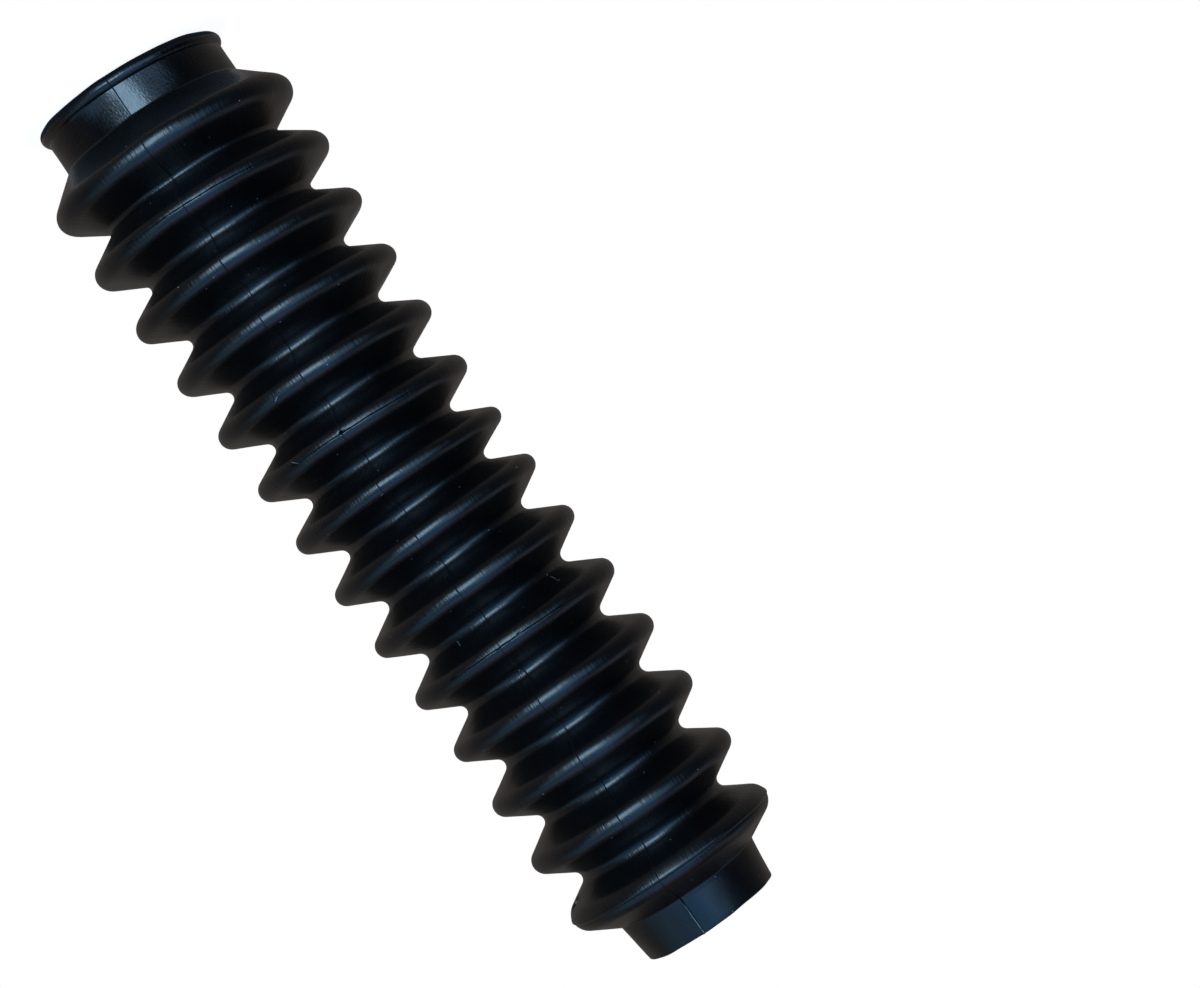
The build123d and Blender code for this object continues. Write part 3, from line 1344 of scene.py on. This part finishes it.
@dataclass(frozen=True)
class MouldedRubber:
    """Carbon-black rubber, compression moulded in steel plates that were polished by hand.

    Carbon black leaves almost no diffuse colour, so the eye sees lamps as soft satin bands along the crests
    and near black in the folds. The plates were polished from fold to fold, which leaves faint streaks that
    way. Round the large cuff they were left as eroded, which gives it a fine leathery grain, and round the
    small cuff less so. Where plates met, the line is torn and rougher. Torn lines, dark tears and the
    breather hole's lining are also painted a shade darker, as painted shade. On the small cuff a pale,
    broken thread beside the line is a painted highlight on the torn flash. A little dust has settled on the
    rubber.
    All sizes are in millimetres.

    Attributes:
        black: Colour of the rubber.
        groove_painted_shade: Painted shade: the darker colour given to torn lines, dark tears and the
            breather hole's lining, where less light gets in.
        dust: Colour of dust and lint, and of the painted highlight on the torn flash.
        ior: Its index of refraction, which is 1.52 to 1.6 for filled rubber.
        roughness: Its roughness on average, satin as polished steel leaves it.
        cuff_roughness: The same on the large cuff, whose grain adds the rest.
        groove_roughness: The same in torn lines.
        dust_roughness: The same for dust.
        patch_size: Size of the patches in which its roughness varies, and patch_spread how far it does.
        streak_width: Width of the polishing streaks. Real ones are 0.1 mm wide, too fine to show, so these
            are drawn coarser.
        streak_length: Their length, from fold to fold.
        streak_depth: Their depth.
        streak_spread: How far the roughness varies from streak to streak.
        grain_size: Size of the grain. Eroded steel's is 0.2 to 0.3 mm, too fine to show, so this one is
            drawn coarser.
        grain_stretch: How much longer the grain is along the section than round the boot.
        grain_depth: Its depth on the large cuff.
        fold_grain_share: Share of that depth on the folds.
        small_cuff_grain_share: Share of it on the small cuff.
        tear_depth: Depth of the dark marks.
        groove_half_width: Half width of a torn line.
        groove_fade: Shares of it between which the line fades.
        speck_cell: Size of the cells that may each hold a speck of dust.
        speck_share: Share of them that do.
        speck_radius: Radius of a speck.
        flash_half_width: Half width of the painted highlight on the torn flash.
        flash_fade: Shares of it between which it fades.
        flash_start: Distance from the small cuff's corner over which it comes on.
        flash_break: Size of the pattern that breaks it, and flash_gaps the values of it that do.
        flash_paleness: Share of the dust's colour that the flash's painted highlight has.
        fine_share: Share of each finer pattern in the patterns that are laid on the skin.
        marks: Small things on the crests.
    """

    black: str = "#020203"
    groove_painted_shade: str = "#010101"
    dust: str = "#8b8e90"
    ior: float = 1.56
    roughness: float = 0.34
    cuff_roughness: float = 0.27
    groove_roughness: float = 0.5
    dust_roughness: float = 0.95
    patch_size: float = 12.0
    patch_spread: float = 0.14
    streak_width: float = 0.55
    streak_length: float = 7.0
    streak_depth: float = 0.08
    streak_spread: float = 0.1
    grain_size: float = 0.62
    grain_stretch: float = 1.3
    grain_depth: float = 0.055
    fold_grain_share: float = 0.15
    small_cuff_grain_share: float = 0.45
    tear_depth: float = 0.25
    groove_half_width: float = 0.15
    groove_fade: tuple[float, float] = (0.6, 1.4)
    speck_cell: float = 1.6
    speck_share: float = 0.04
    speck_radius: float = 0.2
    flash_half_width: float = 0.11
    flash_fade: tuple[float, float] = (0.4, 1.6)
    flash_start: float = 3.6
    flash_break: tuple[float, float] = (3.0, 1.6)
    flash_gaps: tuple[float, float] = (0.4, 0.56)
    flash_paleness: float = 0.6
    fine_share: float = 0.55
    marks: tuple[SurfaceMark, ...] = ()

    def pattern(self, tree: bpy.types.NodeTree, size: tuple[float, float], detail: float) -> bpy.types.Node:
        """Lay an irregular pattern on the skin.

        Args:
            tree: The node tree that takes it.
            size: Size of its features round the boot and along the section, in millimetres.
            detail: Number of finer patterns laid over it.

        Returns:
            The node that carries the pattern, about 0.5 on average.
        """
        place = add_node(tree, "ShaderNodeAttribute", attribute_name=Mark.WRAP.value)
        scale = (1 / size[0], 1 / size[0], 1 / size[1])
        scaled = add_node(tree, "ShaderNodeMapping", {"Vector": place.outputs["Vector"], "Scale": scale})
        return add_node(
            tree,
            "ShaderNodeTexNoise",
            {"Vector": scaled, "Scale": 1.0, "Detail": detail, "Roughness": self.fine_share},
        )

    def grooves(self, tree: bpy.types.NodeTree) -> bpy.types.Node:
        """Find the torn lines: the parting lines, the split lines and the ridge's groove.

        Args:
            tree: The node tree that takes the nodes.

        Returns:
            The node that carries the share of torn line.
        """
        seam, split = (
            add_node(tree, "ShaderNodeAttribute", attribute_name=mark.value).outputs["Fac"]
            for mark in (Mark.SEAM, Mark.SPLIT)
        )
        beside = add_node(tree, "ShaderNodeMath", {0: seam}, operation="ABSOLUTE")
        nearer = add_node(tree, "ShaderNodeMath", {0: beside, 1: split}, operation="MINIMUM")
        full, none = (share * self.groove_half_width for share in self.groove_fade)
        return add_node(
            tree,
            "ShaderNodeMapRange",
            {"Value": nearer, "From Min": none, "From Max": full},
            interpolation_type="SMOOTHSTEP",
        )

    def specks(self, tree: bpy.types.NodeTree) -> bpy.types.Node:
        """Scatter dust: a few round specks, far apart.

        Args:
            tree: The node tree that takes the nodes.

        Returns:
            The node that carries the share of dust.
        """
        place = add_node(tree, "ShaderNodeAttribute", attribute_name=Mark.WRAP.value)
        cells = add_node(
            tree, "ShaderNodeTexVoronoi", {"Vector": place.outputs["Vector"], "Scale": 1 / self.speck_cell}
        )
        radius = self.speck_radius / self.speck_cell
        near = add_node(
            tree,
            "ShaderNodeMapRange",
            {"Value": cells.outputs["Distance"], "From Min": radius, "From Max": radius / 2},
            interpolation_type="SMOOTHSTEP",
        )
        pick = add_node(tree, "ShaderNodeSeparateColor", {"Color": cells.outputs["Color"]})
        chosen = add_node(tree, "ShaderNodeMath", {0: pick, 1: self.speck_share}, operation="LESS_THAN")
        return add_node(tree, "ShaderNodeMath", {0: near, 1: chosen}, operation="MULTIPLY")

    def painted_flash_highlight(self, tree: bpy.types.NodeTree, skin: BootSkin) -> bpy.types.Node:
        """Paint a highlight along the torn flash: a pale, broken thread beside the parting line on the small
        cuff.

        Args:
            tree: The node tree that takes the nodes.
            skin: The skin, which knows where the parting line and its flash lie.

        Returns:
            The node that carries the share of flash.
        """
        seam, height = (
            add_node(tree, "ShaderNodeAttribute", attribute_name=mark.value).outputs["Fac"]
            for mark in (Mark.SEAM, Mark.HEIGHT)
        )
        # The thread swings to and fro beside the line, about as far out as the flash of the mesh
        ragged = self.pattern(tree, self.flash_break, detail=2.0)
        swing = {0: ragged, 1: 2.0 * skin.seam.flash_offset, 2: -2.0 * skin.seam.groove_width}
        place = add_node(tree, "ShaderNodeMath", swing, operation="MULTIPLY_ADD")
        offset = add_node(tree, "ShaderNodeMath", {0: seam, 1: place}, operation="SUBTRACT")
        beside = add_node(tree, "ShaderNodeMath", {0: offset}, operation="ABSOLUTE")
        corner = skin.section.length - skin.seam.mouth_reach
        full, none = (share * self.flash_half_width for share in self.flash_fade)
        total: Any = self.flash_paleness
        for value, start, end in (
            (height, corner, corner + self.flash_start),
            (beside, none, full),
            (ragged, *self.flash_gaps),
        ):
            share = add_node(
                tree,
                "ShaderNodeMapRange",
                {"Value": value, "From Min": start, "From Max": end},
                interpolation_type="SMOOTHSTEP",
            )
            total = add_node(tree, "ShaderNodeMath", {0: total, 1: share}, operation="MULTIPLY")
        return total

    def marked(self, tree: bpy.types.NodeTree, skin: BootSkin, pale: bool) -> bpy.types.Node | float:
        """Lay the pale or the dark marks.

        Args:
            tree: The node tree that takes the nodes.
            skin: The skin, which knows where the crests lie in the patterns.
            pale: Whether the pale ones are wanted.

        Returns:
            The node that carries the share of marks, or 0 if there are none.
        """
        total: Any = 0.0
        for mark in (mark for mark in self.marks if mark.pale is pale):
            place = add_node(tree, "ShaderNodeAttribute", attribute_name=Mark.WRAP.value)
            local = add_node(
                tree,
                "ShaderNodeMapping",
                {
                    "Vector": place.outputs["Vector"],
                    "Location": skin.wrap_point(mark.crest, mark.apex, mark.azimuth),
                    "Rotation": (0.0, -math.radians(mark.turn), math.radians(mark.azimuth)),
                    "Scale": (mark.half_size[0], skin.wrap_radius, mark.half_size[1]),
                },
                vector_type="TEXTURE",
            )
            distance = add_node(tree, "ShaderNodeVectorMath", {0: local}, operation="LENGTH")
            full, none = mark.fade
            share = add_node(
                tree,
                "ShaderNodeMapRange",
                {"Value": distance.outputs["Value"], "From Min": none, "From Max": full},
                interpolation_type="SMOOTHSTEP",
            )
            total = add_node(tree, "ShaderNodeMath", {0: total, 1: share}, operation="MAXIMUM")
        return total

    def cuffs(self, tree: bpy.types.NodeTree, section: WallSection) -> list[bpy.types.Node]:
        """Tell the cuffs from the folds.

        Args:
            tree: The node tree that takes the nodes.
            section: The wall's section.

        Returns:
            The nodes that carry the share of large cuff and of small cuff.
        """
        height = add_node(tree, "ShaderNodeAttribute", attribute_name=Mark.HEIGHT.value).outputs["Fac"]
        large, small = section.large_length, section.length - section.small_length
        return [
            add_node(
                tree,
                "ShaderNodeMapRange",
                {"Value": height, "From Min": start, "From Max": end},
                interpolation_type="SMOOTHSTEP",
            )
            for start, end in ((large + section.corner_round, large), (small, small + section.corner_round))
        ]

    def make(self, skin: BootSkin) -> bpy.types.Material:
        """Build the material.

        Args:
            skin: The skin that wears it.

        Returns:
            The material.
        """
        material = bpy.data.materials.new("moulded_black_rubber")
        material.use_nodes = True
        tree = material.node_tree
        tree.nodes.clear()
        large_cuff, small_cuff = self.cuffs(tree, skin.section)
        below_small = add_node(tree, "ShaderNodeMath", {0: 1.0, 1: small_cuff}, operation="SUBTRACT")
        folds = add_node(tree, "ShaderNodeMath", {0: below_small, 1: large_cuff}, operation="SUBTRACT")
        streaks = self.pattern(tree, (self.streak_width, self.streak_length), detail=1.0)

        dark = self.marked(tree, skin, pale=False)
        # Torn lines and dark tears: rougher, and painted a shade darker as painted shade in their hollows
        dull_and_painted_shade = add_node(tree, "ShaderNodeMath", {0: self.grooves(tree), 1: dark}, operation="MAXIMUM")
        # Dust and lint, with the painted highlight of the torn flash
        dust: Any = self.specks(tree)
        for more in (self.marked(tree, skin, pale=True), self.painted_flash_highlight(tree, skin)):
            dust = add_node(tree, "ShaderNodeMath", {0: dust, 1: more}, operation="MAXIMUM")

        grain = self.pattern(tree, (self.grain_size, self.grain_stretch * self.grain_size), detail=0.6)
        grain_depth: Any = self.fold_grain_share * self.grain_depth
        for cuff, share in ((large_cuff, 1.0), (small_cuff, self.small_cuff_grain_share)):
            more = (share - self.fold_grain_share) * self.grain_depth
            grain_depth = add_node(
                tree, "ShaderNodeMath", {0: cuff, 1: more, 2: grain_depth}, operation="MULTIPLY_ADD"
            )
        streak_depth = add_node(
            tree, "ShaderNodeMath", {0: folds, 1: self.streak_depth}, operation="MULTIPLY"
        )
        relief: Any = 0.0
        for pattern, depth in ((grain, grain_depth), (streaks, streak_depth), (dark, -self.tear_depth)):
            relief = add_node(
                tree, "ShaderNodeMath", {0: pattern, 1: depth, 2: relief}, operation="MULTIPLY_ADD"
            )
        surface = add_node(tree, "ShaderNodeBump", {"Height": relief, "Distance": MM})

        patches = self.pattern(tree, (self.patch_size, self.patch_size), detail=3.0)
        off_streak = add_node(tree, "ShaderNodeMath", {0: streaks, 1: 0.5}, operation="SUBTRACT")
        streak_spread = add_node(
            tree, "ShaderNodeMath", {0: below_small, 1: self.streak_spread}, operation="MULTIPLY"
        )
        roughness: Any = self.roughness - self.patch_spread / 2
        for pattern, spread in (
            (patches, self.patch_spread),
            (off_streak, streak_spread),
            (large_cuff, self.cuff_roughness - self.roughness),
        ):
            roughness = add_node(
                tree, "ShaderNodeMath", {0: pattern, 1: spread, 2: roughness}, operation="MULTIPLY_ADD"
            )
        for share, rough in ((dull_and_painted_shade, self.groove_roughness), (dust, self.dust_roughness)):
            roughness = add_node(tree, "ShaderNodeMix", {"Factor": share, "A": roughness, "B": rough})

        # Painted shade in torn lines, tears and the hole's lining; then dust, lint and the flash's painted
        # highlight
        colour: Any = linear(self.black)
        for share, other in ((dull_and_painted_shade, self.groove_painted_shade), (dust, self.dust)):
            mixed = {"Factor": share, 6: colour, 7: linear(other)}
            colour = add_node(tree, "ShaderNodeMix", mixed, data_type="RGBA").outputs[2]
        shader = add_node(
            tree,
            "ShaderNodeBsdfPrincipled",
            {"Base Color": colour, "Roughness": roughness, "IOR": self.ior, "Normal": surface},
        )
        add_node(tree, "ShaderNodeOutputMaterial", {"Surface": shader})
        return material


# ------------------------------------------------------------------------------------------------- studio


@dataclass
class Camera:
    """Camera that looks level at the boot's side, turned on its lens axis.

    Attributes:
        side: How far it stands towards +X from the boot's foot.
        distance: How far it stands in front of the boot's foot.
        height: Its height over the floor.
        roll: Angle between the image's width and -X, in degrees.
        lens: Focal length.
        frame_width: Width of the frame behind the lens.
        near: Distance from which it sees things.
    """

    side: float = -50.12
    distance: float = 870.0
    height: float = 175.0
    roll: float = 33.11
    lens: float = 89.9
    frame_width: float = 36.0
    near: float = 10.0

    def place(self) -> bpy.types.Object:
        """Create the camera and make it the scene's own.

        Returns:
            The camera.
        """
        data = bpy.data.cameras.new("camera")
        data.lens = self.lens
        data.sensor_width = self.frame_width
        data.sensor_fit = "HORIZONTAL"
        data.clip_start = self.near * MM
        camera = bpy.data.objects.new("camera", data)
        turn = math.radians(self.roll)
        right = Vector((-math.cos(turn), 0.0, math.sin(turn)))
        up = Vector((-math.sin(turn), 0.0, -math.cos(turn)))
        axes = Matrix((right, up, right.cross(up))).transposed().to_4x4()
        place = Vector((self.side, -self.distance, self.height)) * MM
        camera.matrix_world = Matrix.Translation(place) @ axes
        bpy.context.scene.collection.objects.link(camera)
        bpy.context.scene.camera = camera
        return camera


def direction(azimuth: float, elevation: float) -> Vector:
    """Unit vector towards an azimuth and an elevation over the level, both in degrees."""
    turn, rise = math.radians(azimuth), math.radians(elevation)
    return Vector((math.sin(turn) * math.cos(rise), -math.cos(turn) * math.cos(rise), math.sin(rise)))


@dataclass
class SoftBox:
    """A soft rectangular lamp that faces the boot.

    Attributes:
        name: The lamp's name.
        azimuth: Its direction from the boot, in degrees from the front towards +X.
        elevation: Its direction over the level, in degrees.
        distance: How far it stands from the boot's middle, in metres.
        size: Its width and height, in metres.
        card_level: How bright a white card at the boot shows when it faces the lamp, where 1 is white.
        colour: Its colour.
        roll: Angle by which its +X end rises, in degrees.
    """

    name: str
    azimuth: float
    elevation: float
    distance: float
    size: tuple[float, float]
    card_level: float
    colour: str = WHITE
    roll: float = 0.0

    LUMINANCE: ClassVar[tuple[float, float, float]] = (0.2126, 0.7152, 0.0722)

    def place(self, target: Vector) -> bpy.types.Object:
        """Create the lamp.

        Args:
            target: The place that it faces.

        Returns:
            The lamp.
        """
        data = bpy.data.lights.new(self.name, "AREA")
        data.shape = "RECTANGLE"
        data.size, data.size_y = self.size
        data.color = linear(self.colour)[:3]
        brightness = sum(share * channel for share, channel in zip(self.LUMINANCE, data.color))
        # The power that a lamp of this colour needs to show a white card at that level
        data.energy = self.card_level * math.pi**2 * self.distance**2 / brightness
        lamp = bpy.data.objects.new(self.name, data)
        away = direction(self.azimuth, self.elevation)
        facing = (-away).to_track_quat("-Z", "Y").to_matrix().to_4x4()
        facing @= Matrix.Rotation(math.radians(self.roll), 4, "Z")
        lamp.matrix_world = Matrix.Translation(target + away * self.distance) @ facing
        lamp.visible_camera = False
        bpy.context.scene.collection.objects.link(lamp)
        return lamp


@dataclass
class Studio:
    """White backdrop and floor, a dim room, and soft lamps.

    Attributes:
        floor_radius: Radius of the round white table top, in millimetres.
        floor_rim: Width of its rim, over which it fades into the backdrop.
        floor_lift: How much of white the table top shows by itself inside that rim.
        floor_mirror_falloff: Power by which its white fades inwards in reflections.
        floor_colour: Colour of the table top.
        room_front: What the boot's front sees of the room, apart from the lamps.
        room_back: What its sides and back see of the room.
        room_blend: Cosines of the angle from the bright side between which one turns into the other.
        bright_side: Azimuth and elevation of the middle of the room's bright side.
        backdrop_half_angle: Half angle of the backdrop that reflections show, in degrees. To the camera the
            backdrop is white all round.
        backdrop_fade: Angle over which it fades into the room, in degrees.
        lamps: The soft lamps.
    """

    floor_radius: float = 40.0
    floor_rim: float = 7.0
    floor_lift: float = 0.93
    floor_mirror_falloff: float = 12.0
    floor_colour: str = "#b4b0aa"
    room_front: str = "#1f2125"
    room_back: str = "#78736f"
    room_blend: tuple[float, float] = (-0.45, 0.6)
    bright_side: tuple[float, float] = (172.0, -18.0)
    backdrop_half_angle: float = 1.5
    backdrop_fade: float = 3.0
    lamps: list[SoftBox] = field(
        default_factory=lambda: [
            SoftBox("key_low_front", 10.0, -18.5, 2.0, (1.25, 1.1), 0.74, "#b6e0ff", -6.0),
            SoftBox("window_right", -24.0, 3.0, 2.0, (1.5, 1.5), 0.18, "#9bceff"),
            SoftBox("window_left", 45.0, 9.0, 2.0, (1.0, 0.8), 0.045, "#9bceff"),
            SoftBox("spill_left", 47.0, 38.0, 2.0, (1.2, 0.8), 0.025, "#9bceff"),
            SoftBox("sky_front", 4.0, 38.0, 2.0, (1.8, 1.8), 0.13, "#5ba8f0"),
            SoftBox("sky_high", 5.0, 66.0, 2.0, (1.6, 1.4), 0.035, "#ffcbbb"),
            SoftBox("side_right", 72.0, 34.0, 2.0, (1.2, 1.5), 0.036, "#a6e2ff"),
            SoftBox("side_left", -82.0, 50.0, 2.0, (1.9, 0.8), 0.038, "#c9e3ff"),
        ]
    )

    def shown(self, tree: bpy.types.NodeTree, backdrop: bpy.types.Node) -> bpy.types.Node:
        """Share out white: all to the camera, the backdrop's share to a mirror or clear glass.

        Args:
            tree: The node tree that takes the nodes.
            backdrop: The node that carries the backdrop's share.

        Returns:
            The node that carries the share of white that a ray shows.
        """
        path = add_node(tree, "ShaderNodeLightPath")
        glossy, clear = path.outputs["Is Glossy Ray"], path.outputs["Is Transmission Ray"]
        mirrored = add_node(tree, "ShaderNodeMath", {0: glossy, 1: clear}, operation="MAXIMUM")
        return add_node(
            tree,
            "ShaderNodeMath",
            {0: mirrored, 1: backdrop, 2: path.outputs["Is Camera Ray"]},
            operation="MULTIPLY_ADD",
            use_clamp=True,
        )

    def toward(self, tree: bpy.types.NodeTree, aim: Vector, none: float, full: float) -> bpy.types.Node:
        """Tell how near a ray of the world points to a direction.

        Args:
            tree: The node tree that takes the nodes.
            aim: The direction.
            none: Cosine of the angle from which the share is 0.
            full: Cosine of the angle up to which it is 1.

        Returns:
            The node that carries the share.
        """
        place = add_node(tree, "ShaderNodeTexCoord").outputs["Generated"]
        ahead = add_node(tree, "ShaderNodeVectorMath", {0: place, 1: aim}, operation="DOT_PRODUCT")
        return add_node(
            tree,
            "ShaderNodeMapRange",
            {"Value": ahead.outputs["Value"], "From Min": none, "From Max": full},
            interpolation_type="SMOOTHSTEP",
        )

    def light_room(self) -> None:
        """Set the world: white to the camera, white behind the boot in reflections, a dim room elsewhere."""
        world = bpy.data.worlds.new("room")
        bpy.context.scene.world = world
        world.use_nodes = True
        tree = world.node_tree
        tree.nodes.clear()
        edge = math.cos(math.radians(self.backdrop_half_angle + self.backdrop_fade))
        full = math.cos(math.radians(self.backdrop_half_angle))
        behind = Vector((0.0, 1.0, 0.0))
        backdrop = self.toward(tree, behind, edge, full)
        bright = self.toward(tree, direction(*self.bright_side), *self.room_blend)
        colour: Any = linear(self.room_front)
        for share, other in ((bright, self.room_back), (self.shown(tree, backdrop), WHITE)):
            mixed = {"Factor": share, 6: colour, 7: linear(other)}
            colour = add_node(tree, "ShaderNodeMix", mixed, data_type="RGBA").outputs[2]
        surface = add_node(tree, "ShaderNodeBackground", {"Color": colour, "Strength": 1.0})
        add_node(tree, "ShaderNodeOutputWorld", {"Surface": surface})

    def paint_floor(self, radius: float) -> bpy.types.Material:
        """Make the table top's white paint, which fades into the backdrop at its rim.

        Args:
            radius: The table top's radius, in metres.

        Returns:
            The material.
        """
        material = bpy.data.materials.new("white_table_top")
        material.use_nodes = True
        tree = material.node_tree
        tree.nodes.clear()
        place = add_node(tree, "ShaderNodeTexCoord").outputs["Object"]
        out = add_node(tree, "ShaderNodeVectorMath", {0: place}, operation="LENGTH")
        rim = add_node(
            tree,
            "ShaderNodeMapRange",
            {"Value": out.outputs["Value"], "From Min": radius - self.floor_rim * MM, "From Max": radius},
            interpolation_type="SMOOTHSTEP",
        )
        falloff = self.floor_mirror_falloff
        mirrored_rim = add_node(tree, "ShaderNodeMath", {0: rim, 1: falloff}, operation="POWER")
        lift_range = {"Value": rim, "To Min": self.floor_lift, "To Max": 1.0}
        level = add_node(tree, "ShaderNodeMapRange", lift_range)
        shown = self.shown(tree, mirrored_rim)
        strength = add_node(tree, "ShaderNodeMath", {0: shown, 1: level}, operation="MULTIPLY")
        paint = add_node(tree, "ShaderNodeBsdfDiffuse", {"Color": linear(self.floor_colour)})
        lift = add_node(tree, "ShaderNodeEmission", {"Color": linear(WHITE), "Strength": strength})
        both = add_node(tree, "ShaderNodeAddShader", {0: paint, 1: lift})
        add_node(tree, "ShaderNodeOutputMaterial", {"Surface": both})
        return material

    def lay_floor(self) -> None:
        """Lay the round white table top, which keeps the boot's shadow."""
        mesh = bpy.data.meshes.new("floor")
        corners = 96
        turns = np.linspace(0.0, 2.0 * math.pi, corners, endpoint=False)
        radius = self.floor_radius * MM
        points = [(radius * math.cos(turn), radius * math.sin(turn), 0.0) for turn in turns]
        mesh.from_pydata(points, [], [tuple(range(corners))])
        mesh.materials.append(self.paint_floor(radius))
        floor = bpy.data.objects.new("floor", mesh)
        floor.visible_shadow = False
        bpy.context.scene.collection.objects.link(floor)

    def set_up(self, target: Vector) -> None:
        """Build the room, the floor and the lamps.

        Args:
            target: Middle of the boot, which the lamps face.
        """
        self.light_room()
        self.lay_floor()
        for lamp in self.lamps:
            lamp.place(target)
        bpy.context.scene.view_settings.view_transform = "Standard"


# --------------------------------------------------------------------------------------------------- main


# Tears, lint and scratches that lie on the crests in front. The tears' darker colour is painted shade.
MARKS = (
    SurfaceMark(9, -0.3, -4.6, (0.7, 0.35), pale=False),
    SurfaceMark(6, 0.1, 14.4, (0.08, 1.7), 3.0, pale=False),
    SurfaceMark(1, 0.2, 51.6, (0.3, 0.2), pale=False),
    SurfaceMark(5, -1.0, 34.1, (1.6, 0.06), -42.0),
    SurfaceMark(9, -11.0, -46.2, (0.065, 2.6), -30.0),
    SurfaceMark(9, -8.4, -44.0, (0.7, 0.08), -10.0),
    SurfaceMark(9, -12.6, 31.5, (0.06, 1.9), 32.0),
    SurfaceMark(6, 2.4, 7.3, (0.6, 0.08), 20.0),
    SurfaceMark(4, 0.9, 22.0, (0.9, 0.09), 35.0),
)


def main() -> None:
    """Build the boot, its studio and its camera, and log the boot's face count."""
    logging.basicConfig(level=logging.INFO, format="%(message)s")
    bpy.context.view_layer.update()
    low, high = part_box(NODE)
    length, reach = (high.z - low.z) / MM, (high.x - low.x) / (2 * MM)
    skin = BootSkin(WallSection(length=length, crest_reach=reach))
    boot = skin.build()
    skin.dress(boot, MouldedRubber(marks=MARKS))
    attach(boot, BODY)
    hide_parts(NODE)
    log.info("%s: %d faces", boot.name, len(boot.data.polygons))
    Studio().set_up(Vector((0.0, 0.0, (low.z + high.z) / 2)))
    Camera().place()


if __name__ == "__main__":
    main()
